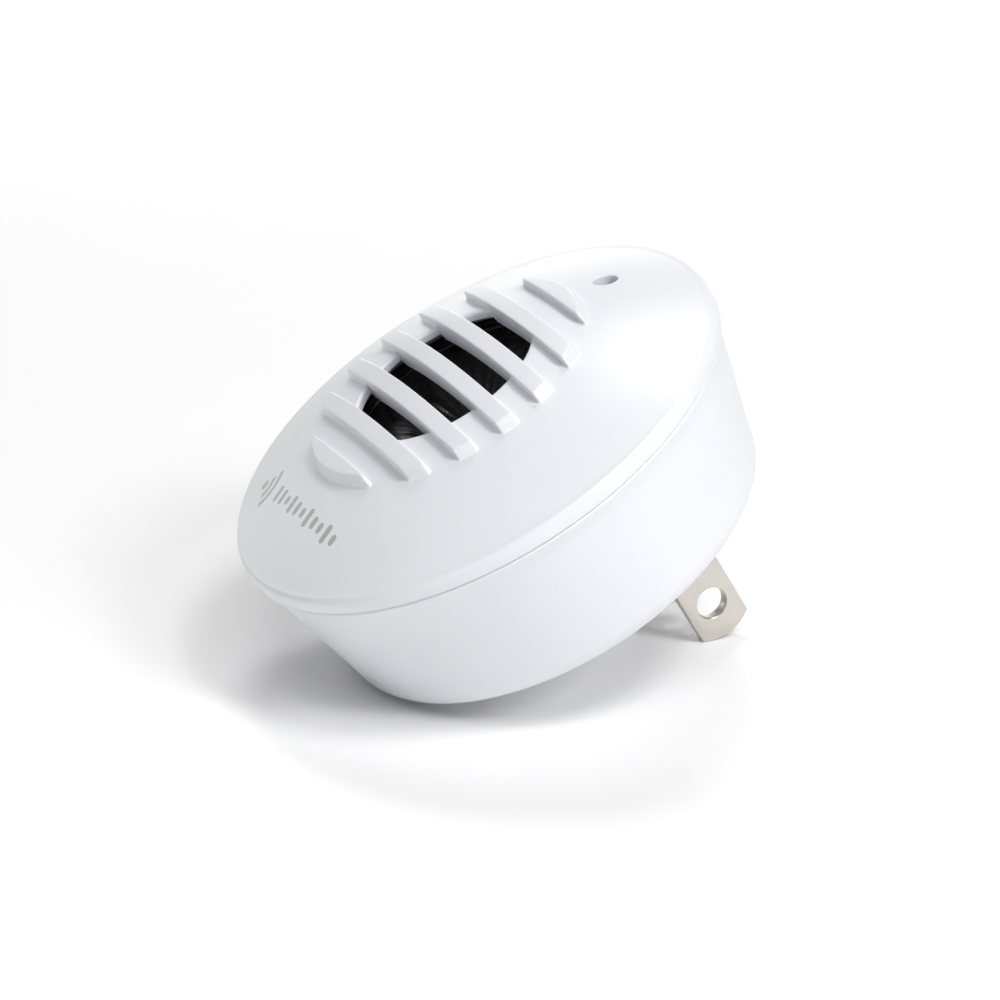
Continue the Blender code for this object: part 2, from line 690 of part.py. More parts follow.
def stand_on_table():
    """Leans the casing and sets the middle of its footprint on the origin."""
    CASE.rotation_euler = (lean(), 0, 0)
    graph = bpy.context.evaluated_depsgraph_get()
    graph.update()
    points = []
    for obj in PARTS.objects:
        if obj.type == "MESH":
            solid = obj.evaluated_get(graph)
            points += [solid.matrix_world @ v.co for v in solid.data.vertices]
    middle = [(min(p[i] for p in points) + max(p[i] for p in points)) / 2 for i in (0, 1)]
    CASE.location = (-middle[0], -middle[1], -min(p.z for p in points))


def main():
    front_cover()
    rear_body()
    fastenings()
    plug()
    tweeter()
    circuit_board()
    indicator()
    tall_components()
    coil()
    low_components()
    wiring()
    stand_on_table()


main()
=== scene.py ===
# %% [markdown]
# # A plug-in ultrasonic pest repeller
#
# The device is a round white casing of two shells, a domed cover with a barred speaker
# grille and a tapering body behind it, and two flat plug blades. It lies on a table,
# leaning on its rear edge and on the tips of the blades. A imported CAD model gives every
# piece its place; this lesson makes the fine surfaces and the finishes around it.

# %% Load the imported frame
import json
import math

import bmesh
import bpy
from mathutils import Matrix, Vector


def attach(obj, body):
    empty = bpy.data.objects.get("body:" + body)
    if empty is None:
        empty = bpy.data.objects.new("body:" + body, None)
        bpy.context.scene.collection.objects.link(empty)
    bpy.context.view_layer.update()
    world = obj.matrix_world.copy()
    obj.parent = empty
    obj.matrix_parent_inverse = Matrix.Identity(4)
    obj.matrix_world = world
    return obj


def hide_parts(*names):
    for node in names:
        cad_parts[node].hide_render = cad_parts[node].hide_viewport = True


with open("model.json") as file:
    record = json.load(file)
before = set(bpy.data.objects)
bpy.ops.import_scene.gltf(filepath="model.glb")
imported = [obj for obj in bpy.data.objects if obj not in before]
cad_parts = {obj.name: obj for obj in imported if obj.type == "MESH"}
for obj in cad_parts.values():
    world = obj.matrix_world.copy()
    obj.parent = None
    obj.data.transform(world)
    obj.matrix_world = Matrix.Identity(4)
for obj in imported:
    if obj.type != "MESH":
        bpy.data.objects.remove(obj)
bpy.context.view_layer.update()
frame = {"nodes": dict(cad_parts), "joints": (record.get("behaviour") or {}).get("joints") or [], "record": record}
NODES = frame["nodes"]
print("CAD nodes:", len(NODES))

# %% [markdown]
# ## The casing's own frame
#
# The casing is a turned shape, so it is easiest to model upright: millimetres, the seam
# between the shells at z = 0, +z out of the front, the grille's bars along x. One matrix
# then leans a finished mesh into its place. The lean comes from the axis that the speaker's
# diaphragm moves along, and the place from the flat rear face.

# %% Casing frame and driving sizes
MM = 0.001
CASE_R = 30.0            # cover, at its widest
BAND_H = 1.65            # straight band round the cover
DOME_RISE = 7.6          # from the band to the middle of the dome
WALL = 1.8
BODY_R = 29.5            # body, at the seam
BODY_TOP = -0.3
BODY_DEPTH = 18.7
REAR_R = 26.1            # body, where its rear rounding begins
REAR_ROUND = 3.0
BLADE_X, BLADE_Y = 6.35, 10.8

mounts = {m["name"]: m for m in frame["record"]["mounts"]}
front = Vector(frame["joints"][0]["axis"]).normalized()
LEAN = math.atan2(-front.y, front.z)
tilt = Matrix.Rotation(LEAN, 4, "X")
rear_point = Vector((0.0, -8.0, -BODY_DEPTH)) * MM
SEAM = Vector(mounts["rear_face"]["pos_m"]) - tilt @ rear_point
CASE = Matrix.Translation(SEAM) @ tilt @ Matrix.Scale(MM, 4)
print("lean", round(math.degrees(LEAN), 2), "degrees; seam centre at", SEAM)

# %% [markdown]
# ## Small helpers
#
# A bmesh holds a piece while it is shaped: `spun` turns a profile about the casing's axis,
# `joined` puts several into one, and `cut_with` takes cutters out. `finish_piece` moves a
# mesh to its place, smooths it below an angle and hands it to the body it rides on.

# %% Mesh helpers
def steps(low, high, count):
    return [low + (high - low) * i / count for i in range(count + 1)]


def arc(centre, radius, start, end, count):
    turns = [math.radians(t) for t in steps(start, end, count)]
    return [(centre[0] + radius * math.cos(t), centre[1] + radius * math.sin(t)) for t in turns]


def spun(profile, sides, closed=True):
    """A turned mesh from (radius, height) points; closed joins the last point to the first."""
    bm = bmesh.new()
    points = [bm.verts.new((r, 0, z)) for r, z in profile]
    pairs = list(zip(points, points[1:]))
    if closed:
        pairs.append((points[-1], points[0]))
    edges = [bm.edges.new(pair) for pair in pairs]
    bmesh.ops.spin(bm, geom=points + edges, cent=(0, 0, 0), axis=(0, 0, 1), angle=math.tau,
                   steps=sides, use_merge=True)
    bmesh.ops.remove_doubles(bm, verts=bm.verts, dist=1e-5)
    bmesh.ops.recalc_face_normals(bm, faces=bm.faces)
    return bm


def to_mesh(name, bm, smooth=35):
    mesh = bpy.data.meshes.new(name)
    bm.to_mesh(mesh)
    bm.free()
    mesh.shade_smooth()
    mesh.set_sharp_from_angle(angle=math.radians(smooth))
    return mesh


def loose_object(name, mesh):
    obj = bpy.data.objects.new(name, mesh)
    bpy.context.scene.collection.objects.link(obj)
    return obj


def joined(parts):
    """One bmesh made of several, which are used up."""
    whole = bmesh.new()
    for part in parts:
        mesh = bpy.data.meshes.new("part")
        part.to_mesh(mesh)
        part.free()
        whole.from_mesh(mesh)
        bpy.data.meshes.remove(mesh)
    return whole


def cut_with(obj, cutters):
    """Takes the cutters out of the object for good, and removes them."""
    for cutter in cutters:
        step = obj.modifiers.new("cut", "BOOLEAN")
        step.operation = "DIFFERENCE"
        step.solver = "EXACT"
        step.object = cutter
    graph = bpy.context.evaluated_depsgraph_get()
    mesh = bpy.data.meshes.new_from_object(obj.evaluated_get(graph))
    obj.modifiers.clear()
    obj.data = mesh
    for cutter in cutters:
        bpy.data.objects.remove(cutter, do_unlink=True)


def finish_piece(obj, body, material, nodes, smooth=35):
    """Puts a finished mesh in its place on a body, instead of the CAD nodes it replaces."""
    obj.data.transform(CASE)
    obj.data.set_sharp_from_angle(angle=math.radians(smooth))
    obj.data.materials.clear()
    obj.data.materials.append(material)
    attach(obj, body)
    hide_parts(*nodes)
    print(obj.name, len(obj.data.polygons), "faces")

# %% [markdown]
# ## Shader maths as Python
#
# A `Value` wraps one socket of a node tree. Adding or multiplying values adds the Math
# nodes that do it, so a mask is written as the formula it is. A `Finish` is one material
# under construction, with the few patterns that this device needs.

# %% Shader helper
class Value:
    def __init__(self, tree, socket=None):
        self.tree = tree
        self.socket = socket

    def node(self, kind, settings, sockets, out=0):
        """Adds a node: its settings first, then numbers or values into its sockets."""
        made = self.tree.nodes.new("ShaderNode" + kind)
        for key, what in settings.items():
            setattr(made, key, what)
        for key, what in sockets.items():
            if isinstance(what, Value):
                self.tree.links.new(what.socket, made.inputs[key])
            else:
                made.inputs[key].default_value = what
        return Value(self.tree, made.outputs[out])

    def math(self, how, *others):
        return self.node("Math", {"operation": how}, dict(enumerate((self, *others))))

    def __add__(self, other):
        return self.math("ADD", other)

    def __sub__(self, other):
        return self.math("SUBTRACT", other)

    def __mul__(self, other):
        return self.math("MULTIPLY", other)

    def __truediv__(self, other):
        return self.math("DIVIDE", other)

    def __abs__(self):
        return self.math("ABSOLUTE")

    __radd__ = __add__
    __rmul__ = __mul__

    def most(self, other):
        return self.math("MAXIMUM", other)

    def below(self, edge, blur):
        """1 where the value is under the edge, 0 over it, with a soft step between."""
        return self.node("MapRange", {"interpolation_type": "SMOOTHSTEP"},
                         {"Value": self, "From Min": edge + blur, "From Max": edge - blur})

    def into(self, shader, name):
        self.tree.links.new(self.socket, shader.inputs[name])


class Finish:
    """A new material: constant sockets set at once, and its coordinates ready for patterns."""

    def __init__(self, name, **constants):
        self.material = bpy.data.materials.new(name)
        self.material.use_nodes = True
        self.tree = self.material.node_tree
        self.shader = self.tree.nodes["Principled BSDF"]
        for key, what in constants.items():
            socket = key.replace("_", " ").title().replace("Ior", "IOR")
            self.shader.inputs[socket].default_value = what
        self.object_place = Value(self.tree).node("TexCoord", {}, {}, out="Object")

    def local(self):
        """The point in the casing's own millimetres, as one vector value."""
        return self.object_place.node(
            "Mapping", {"vector_type": "TEXTURE"},
            {"Vector": self.object_place, "Location": SEAM, "Rotation": (LEAN, 0, 0),
             "Scale": (MM, MM, MM)})

    def axes(self, vector):
        return [vector.node("SeparateXYZ", {}, {"Vector": vector}, out=i) for i in range(3)]

    def noise(self, vector, scale, detail=2.0, rough=0.5):
        return vector.node("TexNoise", {}, {"Vector": vector, "Scale": scale, "Detail": detail,
                                            "Roughness": rough})

    def blend(self, share, low, high):
        """The colour low where the share is 0 and high where it is 1."""
        return share.node("Mix", {"data_type": "RGBA"}, {"Factor": share, 6: low, 7: high}, out=2)

    def bump(self, height, strength, distance):
        height.node("Bump", {}, {"Height": height, "Strength": strength, "Distance": distance}
                    ).into(self.shader, "Normal")

    def colour(self, value):
        value.into(self.shader, "Base Color")

    def roughness(self, value):
        value.into(self.shader, "Roughness")


def rgb(r, g, b):
    return (r, g, b, 1.0)

# %% [markdown]
# ## White ABS
#
# The casing is moulded from a white, faintly bluish plastic with a satin surface. It is
# never quite even: the tool leaves a very fine grain, handling leaves slightly smoother
# and rougher patches, and the colour drifts by a per cent or two. All three come from
# noise at different scales.

# %% White plastic
WHITE_DARK, WHITE_LIGHT = rgb(0.768, 0.773, 0.812), rgb(0.806, 0.811, 0.846)
CLOUD_SCALE, PATCH_SCALE, GRAIN_SCALE = 0.11, 0.35, 9.0      # noise cells per millimetre
SATIN, SATIN_SPREAD = 0.30, 0.10
GRAIN_DEPTH = 0.02 * MM


def white_plastic(name):
    skin = Finish(name, ior=1.5, specular_ior_level=0.45)
    local = skin.local()
    skin.base = skin.blend(skin.noise(local, CLOUD_SCALE, 3.0), WHITE_DARK, WHITE_LIGHT)
    skin.colour(skin.base)
    skin.roughness(SATIN + SATIN_SPREAD * skin.noise(local, PATCH_SCALE, 3.0))
    skin.bump(skin.noise(local, GRAIN_SCALE, 2.0), 0.12, GRAIN_DEPTH)
    return skin


body_white = white_plastic("white_abs_body")

# %% [markdown]
# ## The printed mark
#
# A mark is pad-printed low on the cover in pale grey. Here it is a plain sign for sound:
# a dot with two waves, and a row of strokes like a level meter. Printed ink has no
# thickness worth modelling, so it is a mask worked out from the distance to each shape.

# %% Cover plastic with its mark
MARK_Y = -21.6                       # the mark's middle line
MARK_INK = rgb(0.43, 0.43, 0.42)
SIGN_X, DOT_R = -12.9, 0.62
WAVE_RADII, WAVE_HALF = (1.75, 3.1), 0.36
STROKE_START, STROKE_END, STROKE_PITCH = -8.1, 9.72, 1.62
STROKE_HALF = 0.42                   # half of a stroke's width
REACH_MEAN, REACH_SWING = 0.42, 0.30         # how far strokes reach from the line
SWING_STEP, SWING_START = 2.2, 0.6           # the swing's angle from stroke to stroke
INK_BLUR = 0.05


def mark_mask(skin, local):
    """1 on the printed sign, 0 beside it."""
    x, y, _ = skin.axes(local)
    rise = y - MARK_Y

    reach = x - SIGN_X
    away = (reach * reach + rise * rise).math("SQRT")
    sign = away.below(DOT_R, INK_BLUR)
    side = (abs(rise) - reach).below(0.0, INK_BLUR)
    for radius in WAVE_RADII:
        sign = sign.most(abs(away - radius).below(WAVE_HALF, INK_BLUR) * side)

    cell = (x - STROKE_START) / STROKE_PITCH
    number = cell.math("FLOOR")
    across = abs(cell - number - 0.5) * STROKE_PITCH
    swing = (number * SWING_STEP + SWING_START).math("SINE")
    past_end = (abs(rise) - (REACH_MEAN + REACH_SWING * swing)).most(0.0)
    gap = (across * across + past_end * past_end).math("SQRT")
    strokes = gap.below(STROKE_HALF, INK_BLUR)
    middle, half = (STROKE_START + STROKE_END) / 2, (STROKE_END - STROKE_START) / 2
    return sign.most(strokes * abs(x - middle).below(half, 0.001))


cover_white = white_plastic("white_abs_cover")
mark = mark_mask(cover_white, cover_white.local())
cover_white.colour(cover_white.blend(mark, cover_white.base, MARK_INK))
print("cover material has", len(cover_white.tree.nodes), "nodes")

# %% [markdown]
# ## The cover's dome
#
# The dome, its rim, the inner wall and the round opening under the grille are all turned
# about one axis, so one closed profile spun through a full circle makes them. The opening's
# rim and the outer rim are rounded in the profile itself.

# %% Cover shell
OPENING_R = 10.95
OPENING_ROUND = 0.35     # rounding of the opening's rim
OPENING_WALL = 1.0       # the wall thins towards the opening
THINNING = 1.3           # over this width
LIP_ROUND, CREASE_R = 1.0, 29.35     # the lip's rounding, and where it meets the dome
SIDES = 288


def dome(r):
    return BAND_H + DOME_RISE * (1 - (r / CASE_R) ** 2)


def slope_angle(r):
    """Angle of the dome's outward normal above the horizontal, in degrees."""
    return 90 - math.degrees(math.atan(2 * DOME_RISE * r / CASE_R ** 2))


def cover_profile():
    start, inner_r = OPENING_R + OPENING_ROUND, CASE_R - WALL
    outside = [(r, dome(r)) for r in steps(start, CREASE_R, 44)]
    rim = arc((CASE_R - LIP_ROUND, BAND_H - 0.5), LIP_ROUND, 52, 0, 10)
    rim += [(CASE_R, 0.22), (CASE_R - 0.05, 0.06), (CASE_R - 0.2, 0.0)]
    inside = [(inner_r, 0.0), (inner_r, 0.9)]
    inside += [(r, dome(r) - WALL)
               for r in reversed(steps(OPENING_R + THINNING, inner_r - 1.7, 12))]
    inside.append((OPENING_R, dome(OPENING_R) - OPENING_WALL))
    edge = arc((start, dome(start) - OPENING_ROUND), OPENING_ROUND, 180, 98, 6)
    return outside + rim + inside + edge


cover = loose_object("cover_shell", to_mesh("cover_shell", spun(cover_profile(), SIDES)))
print("cover shell:", len(cover.data.polygons), "faces")

# %% [markdown]
# ## The indicator hole
#
# A small hole near the cover's raised end lets the lamp shine out. A cutter shaped like a
# trumpet leaves a bore with a softly rounded mouth. It stands along the dome's normal.

# %% Indicator hole
LED_Y, LED_HOLE_R, LED_MOUTH, LED_DEPTH = 21.1, 1.4, 0.2, 4.0


def trumpet(name, radius, mouth, depth, sides=64):
    """A cutter: a rod below z = 0 that flares out at z = 0 to leave a rounded mouth."""
    flare = [(radius + mouth - mouth * math.cos(math.radians(t)),
              -mouth + mouth * math.sin(math.radians(t))) for t in steps(0, 90, 6)]
    profile = [(0.0, -depth), (radius, -depth)] + flare
    profile += [(radius + mouth, 1.0), (0.0, 1.0)]
    return loose_object(name, to_mesh(name, spun(profile, sides, closed=False)))


led_cutter = trumpet("led_cutter", LED_HOLE_R, LED_MOUTH, LED_DEPTH)
lift = math.radians(90 - slope_angle(LED_Y))
led_cutter.data.transform(Matrix.Translation((0, LED_Y, dome(LED_Y) - 0.01))
                          @ Matrix.Rotation(-lift, 4, "X"))
cut_with(cover, [led_cutter])
finish_piece(cover, "casing", cover_white.material, ["front_cover"], smooth=38)

# %% [markdown]
# ## Grille bars and crescents
#
# Five bars cross the opening and stop on a circle, where a steep facet meets the dome.
# Two crescents close the circle. Every one has an outline in plan, a small fillet at its
# foot, an upright wall, a rounded edge and a gently domed top. A grid is wrapped round
# the outline, ring above ring, and welded where it meets itself and along its ridge.

# %% Bar and crescent outline
BAR_PITCH, BAR_W, BARS = 5.25, 2.12, 5
FOOT_R, TOP_R = 17.15, 16.75         # the circle they stop on, at the foot and at the top
TOP_MID, TOP_END = 10.2, 8.05        # height of the tops in the middle and on the circle
EDGE_R = 0.18                # rounding of the top edges and the corners
FILLET_R = 0.32              # at the foot
LONG, TURN, END = 40, 4, 6   # points along a side, round a corner and along an end
RIDGE_IN = 0.5


def top(x, y):
    return TOP_MID - (TOP_MID - TOP_END) * (x * x + y * y) / TOP_R ** 2


def outline(low, high, radius):
    """(core point, outward direction, ridge point) round a bar; high=None is a crescent."""
    core = radius - EDGE_R
    base = low + EDGE_R
    start = math.asin(base / core)
    end = math.pi / 2 if high is None else math.asin((high - EDGE_R) / core)
    reach = core * math.cos(max(abs(start), abs(end)) if high is not None else start) - RIDGE_IN

    def ridge(share):
        x = share * reach
        over = math.sqrt(core ** 2 - x ** 2)
        if high is not None:
            over = min(over, high - EDGE_R)
        return (x, (base + over) / 2)

    def on_circle(angle):
        return (core * math.cos(angle), core * math.sin(angle))

    points = []
    for share in steps(-1, 1, LONG):
        points.append(((share * core * math.cos(start), base), -math.pi / 2, ridge(share)))
    for angle in steps(-math.pi / 2, start, TURN)[1:]:
        points.append((on_circle(start), angle, ridge(1)))
    if high is None:
        for share in steps(1, -1, LONG)[1:]:
            angle = math.pi / 2 - (math.pi / 2 - start) * share
            points.append((on_circle(angle), angle, ridge(share)))
    else:
        for angle in steps(start, end, END)[1:]:
            points.append((on_circle(angle), angle, ridge(1)))
        for angle in steps(end, math.pi / 2, TURN)[1:]:
            points.append((on_circle(end), angle, ridge(1)))
        for share in steps(1, -1, LONG)[1:]:
            x = share * core * math.cos(end)
            points.append(((x, high - EDGE_R), math.pi / 2, ridge(share)))
        for angle in steps(math.pi / 2, math.pi - end, TURN)[1:]:
            points.append((on_circle(math.pi - end), angle, ridge(-1)))
        for angle in steps(math.pi - end, math.pi - start, END)[1:]:
            points.append((on_circle(angle), angle, ridge(-1)))
    for angle in steps(math.pi - start, 1.5 * math.pi, TURN)[1:]:
        points.append((on_circle(math.pi - start), angle, ridge(-1)))
    return points

# %% [markdown]
# The rings go from the hidden underside, out to the fillet's toe on the dome, up the wall
# and over the rounded edge to the ridge. Over the opening a bar has no dome to stand on,
# so there its sides run straight down as a beam's do.

# %% Rings of one bar
BEAM_DEPTH = 1.9         # a bar's depth under the dome's surface, over the opening
SUNK, JOIN_W = 0.1, 0.5  # how deep a foot sits in the dome; width of the change to a beam
CROWN_SHARES = (0.3, 0.65, 1.0)


def offset(point, direction, by):
    return (point[0] + by * math.cos(direction), point[1] + by * math.sin(direction))


def over_dome(x, y):
    """0 over the opening, 1 where the bar stands on the dome."""
    share = (math.hypot(x, y) - OPENING_R + 0.1) / JOIN_W
    share = min(1.0, max(0.0, share))
    return share * share * (3 - 2 * share)


def ring_makers():
    """Functions that give one ring's point from the foot's and the crest's outline points."""
    def under(foot, crest):
        x, y = foot[2]
        return (x, y, dome(math.hypot(x, y)) - SUNK - BEAM_DEPTH * (1 - over_dome(x, y)))

    def fillet(turn):
        def place(foot, crest):
            x, y = offset(foot[0], foot[1], EDGE_R)
            held = over_dome(x, y)
            out = FILLET_R * held * (1 - math.sin(turn))
            x, y = offset((x, y), foot[1], out)
            drop = BEAM_DEPTH * (1 - held) * (1 - 2 * turn / math.pi)
            rise = FILLET_R * held * (1 - math.cos(turn)) - 0.01
            return (x, y, dome(math.hypot(x, y)) + rise - drop)
        return place

    def edge(turn):
        def place(foot, crest):
            x, y = offset(crest[0], crest[1], EDGE_R * math.cos(turn))
            return (x, y, top(x, y) - EDGE_R * (1 - math.sin(turn)))
        return place

    def crown(share):
        def place(foot, crest):
            x = crest[0][0] + (crest[2][0] - crest[0][0]) * share
            y = crest[0][1] + (crest[2][1] - crest[0][1]) * share
            return (x, y, top(x, y))
        return place

    quarter = math.pi / 2
    return ([under] + [fillet(t) for t in steps(0, quarter, 5)]
            + [edge(t) for t in steps(0, quarter, 5)] + [crown(s) for s in CROWN_SHARES])


def grille_block(low, high, flip=1):
    """A closed bar from y = low to high, or a crescent above low; flip -1 mirrors it."""
    feet, crests = outline(low, high, FOOT_R), outline(low, high, TOP_R)
    rings = ring_makers()
    bm = bmesh.new()
    bmesh.ops.create_grid(bm, x_segments=len(feet) - 1, y_segments=len(rings) - 1, size=1)
    for vert in bm.verts:
        column = round((vert.co.x + 1) / 2 * (len(feet) - 1))
        row = round((vert.co.y + 1) / 2 * (len(rings) - 1))
        x, y, z = rings[row](feet[column], crests[column])
        vert.co = (x, y * flip, z)
    bmesh.ops.remove_doubles(bm, verts=bm.verts, dist=1e-4)
    bmesh.ops.recalc_face_normals(bm, faces=bm.faces)
    return bm


def grille():
    middles = [(i - (BARS - 1) / 2) * BAR_PITCH for i in range(BARS)]
    half = BAR_PITCH * 3 - BAR_W / 2
    blocks = [grille_block(y - BAR_W / 2, y + BAR_W / 2) for y in middles]
    blocks += [grille_block(half, None, flip) for flip in (1, -1)]
    return joined(blocks)


bars = loose_object("grille_bars", to_mesh("grille_bars", grille()))
finish_piece(bars, "casing", body_white.material, [], smooth=50)

# %% [markdown]
# ## The body
#
# The rear shell tapers to a broad rounding. It is a second closed profile, with a tongue
# that stands inside the cover, so the seam shows as a fine dark line. Three screw wells
# and two slots for the blades are cut into its rear face.

# %% Body shell
WELL_R, WELL_TOP, WELL_MOUTH = 2.6, -9.0, 0.25       # the screw wells
TOWERS = ((0.0, -20.0), (17.3, 10.0), (-17.3, 10.0))
TOWER_WALL, TOWER_TOP, SHANK_HOLE_R = 1.2, -6.0, 1.35
SLOT_SIZE, SLOT_CORNER = (2.0, 6.9, 8.0), 0.25       # the blade slots
SEAM_GAP = 0.08          # between the cover and the body's shoulder
SHOULDER = 0.3           # rounding of the body's upper edge
BODY_LIP_R = 29.88       # the body flares a little under the seam
TONGUE_R, TONGUE_TOP = CASE_R - WALL - 0.3, 0.6      # a thin wall that stands in the cover


def body_profile():
    centre = (REAR_R - REAR_ROUND, -(BODY_DEPTH - REAR_ROUND))
    taper = math.degrees(math.atan2(BODY_R - REAR_R, BODY_DEPTH - REAR_ROUND + BODY_TOP))
    outside = [(TONGUE_R, TONGUE_TOP), (TONGUE_R, -SEAM_GAP)]
    outside += arc((BODY_LIP_R - SHOULDER, -SEAM_GAP - SHOULDER), SHOULDER, 90, -8, 7)
    outside += [(BODY_R + (REAR_R - BODY_R) * s, BODY_TOP + (centre[1] - BODY_TOP) * s)
                for s in steps(0.06, 0.94, 12)]
    outside += arc(centre, REAR_ROUND, -taper, -90, 18)
    outside += [(r, -BODY_DEPTH) for r in steps(22.0, 0.0, 10)]
    floor = -BODY_DEPTH + WALL
    inside = [(0.0, floor), (centre[0] - 0.5, floor), (REAR_R - WALL - 0.3, floor + 1.6)]
    inside += [(TONGUE_R - 1.0, BODY_TOP - 1.0), (TONGUE_R - 1.0, TONGUE_TOP)]
    return outside + inside


def rear_cutters():
    """Screw wells and blade slots, each standing out through the rear face."""
    cutters = []
    over = Matrix.Rotation(math.pi, 4, "X")
    for i, (x, y) in enumerate(TOWERS):
        well = trumpet("well_%d" % i, WELL_R, WELL_MOUTH, BODY_DEPTH + WELL_TOP, 72)
        well.data.transform(Matrix.Translation((x, y, -BODY_DEPTH)) @ over)
        cutters.append(well)
    for side in (-1, 1):
        bm = bmesh.new()
        bmesh.ops.create_cube(bm, size=1)
        bmesh.ops.scale(bm, vec=SLOT_SIZE, verts=bm.verts)
        bmesh.ops.translate(bm, vec=(side * BLADE_X, BLADE_Y, -BODY_DEPTH), verts=bm.verts)
        upright = [e for e in bm.edges if abs(e.verts[0].co.z - e.verts[1].co.z) > 1]
        bmesh.ops.bevel(bm, geom=upright, offset=SLOT_CORNER, segments=4, affect="EDGES",
                        profile=0.5, material=-1)
        cutters.append(loose_object("slot_cutter", to_mesh("slot_cutter", bm)))
    return cutters


def tower_walls():
    """The lining of the three wells, which the thin rear wall alone would leave open."""
    foot, outer = -BODY_DEPTH + 0.4, WELL_R + TOWER_WALL
    walls = []
    for x, y in TOWERS:
        wall = spun([(outer, foot), (outer, TOWER_TOP), (SHANK_HOLE_R, TOWER_TOP),
                     (SHANK_HOLE_R, WELL_TOP), (WELL_R, WELL_TOP), (WELL_R, foot)], 72)
        bmesh.ops.translate(wall, vec=(x, y, 0), verts=wall.verts)
        walls.append(wall)
    return joined(walls)


body = loose_object("body_shell", to_mesh("body_shell", spun(body_profile(), SIDES)))
cut_with(body, rear_cutters())
finish_piece(body, "casing", body_white.material, ["rear_body"], smooth=38)
towers = loose_object("screw_towers", to_mesh("screw_towers", tower_walls()))
finish_piece(towers, "casing", body_white.material, [], smooth=38)

# %% [markdown]
# ## Nickel-plated blades
#
# The blades are stamped from brass sheet and nickel-plated. Rolling leaves fine streaks
# along the sheet, and the plating is a warm grey. Long noise along the blade gives the
# streaks in colour, roughness and a very shallow bump.

# %% Nickel
NICKEL_DARK, NICKEL_LIGHT = rgb(0.50, 0.475, 0.43), rgb(0.74, 0.71, 0.66)
STREAK_STRETCH, STREAK_DEPTH = (1.0, 14.0, 0.35), 0.03 * MM


def nickel_finish():
    skin = Finish("nickel_blade", metallic=1.0)
    local = skin.local()
    stretched = local.node("Mapping", {}, {"Vector": local, "Scale": STREAK_STRETCH})
    streaks = skin.noise(stretched, 1.6, 4.0, 0.65)
    patches = skin.noise(local, 0.5, 3.0)
    skin.colour(skin.blend(streaks * 0.6 + patches * 0.4, NICKEL_DARK, NICKEL_LIGHT))
    skin.roughness(0.20 + 0.16 * streaks + 0.10 * patches)
    skin.bump(streaks, 0.25, STREAK_DEPTH)
    return skin.material


NICKEL = nickel_finish()

# %% [markdown]
# A blade starts as a flat outline with a hole in it: straight sides, a round tip whose
# arc meets them at soft corners. The sheet is filled, extruded to its thickness, and all
# of its outer edges are rounded by the bevel operator.

# %% Blades
BLADE_W, BLADE_T, BLADE_LEN, TIP_R = 6.35, 1.52, 17.75, 5.3
HOLE_R, HOLE_OUT, HOLE_SIDES = 1.85, 13.2, 64
TAIL_HALF, TAIL_TOP = 1.5, -9.5      # the narrow end inside the casing
BLADE_EDGE = 0.13                    # rounding of all edges


def blade_outline():
    low = -(BODY_DEPTH + BLADE_LEN)
    half = BLADE_W / 2
    reach = math.degrees(math.asin(half / TIP_R))
    tip = arc((0, low + TIP_R), TIP_R, -90 - reach, -90 + reach, 24)
    inside = -BODY_DEPTH + WALL + 0.3
    return tip + [(half, inside), (TAIL_HALF, inside + 1.0), (TAIL_HALF, TAIL_TOP),
                  (-TAIL_HALF, TAIL_TOP), (-TAIL_HALF, inside + 1.0), (-half, inside)]


def loop_of(bm, points):
    """A closed loop of edges through (y, z) points."""
    verts = [bm.verts.new((0, y, z)) for y, z in points]
    return [bm.edges.new((a, b)) for a, b in zip(verts, verts[1:] + verts[:1])]


def blade(side):
    bm = bmesh.new()
    hole = arc((0, -(BODY_DEPTH + HOLE_OUT)), HOLE_R, 0, 360 - 360 / HOLE_SIDES,
               HOLE_SIDES - 1)
    edges = loop_of(bm, blade_outline()) + loop_of(bm, hole)
    bmesh.ops.triangle_fill(bm, edges=edges, use_beauty=True)
    made = bmesh.ops.extrude_face_region(bm, geom=bm.faces[:])["geom"]
    moved = [v for v in made if isinstance(v, bmesh.types.BMVert)]
    bmesh.ops.translate(bm, vec=(BLADE_T, 0, 0), verts=moved)
    bmesh.ops.recalc_face_normals(bm, faces=bm.faces)
    rims = [e for e in bm.edges if len(e.link_faces) == 2 and e.calc_face_angle() > 1.2]
    bmesh.ops.bevel(bm, geom=rims, offset=BLADE_EDGE, segments=3, affect="EDGES",
                    profile=0.5, material=-1)
    bmesh.ops.translate(bm, vec=(side * BLADE_X - BLADE_T / 2, BLADE_Y, 0), verts=bm.verts)
    return bm


for side, name in ((-1, "blade_left"), (1, "blade_right")):
    obj = loose_object(name + "_fine", to_mesh(name + "_fine", blade(side)))
    finish_piece(obj, "casing", NICKEL, [name], smooth=50)

# %% [markdown]
# ## Behind the grille
#
# A small tweeter sits under the opening: a glossy black cone with its dust cap, held by a
# rubber surround. Faint ribs run out along the cone, which catch the light as thin rays.

# %% Speaker finishes
def ribbed_black(name, ribs, colour, rough):
    """Black with a number of ribs that run out from the axis, and a little dust."""
    skin = Finish(name, specular_ior_level=0.6)
    local = skin.local()
    x, y, _ = skin.axes(local)
    rib = (y.math("ARCTAN2", x) * ribs).math("SINE")
    dust = skin.noise(local, 3.0, 4.0)
    skin.colour(skin.blend(dust, rgb(colour, colour, colour * 1.05),
                           rgb(colour * 2.2, colour * 2.2, colour * 2.3)))
    skin.roughness(rough + 0.14 * dust)
    skin.bump(rib + dust * 0.4, 0.35, 0.08 * MM)
    return skin.material


CONE_BLACK = ribbed_black("cone_black", 36.0, 0.012, 0.22)
FRAME_BLACK = ribbed_black("speaker_frame_black", 0.0, 0.02, 0.35)

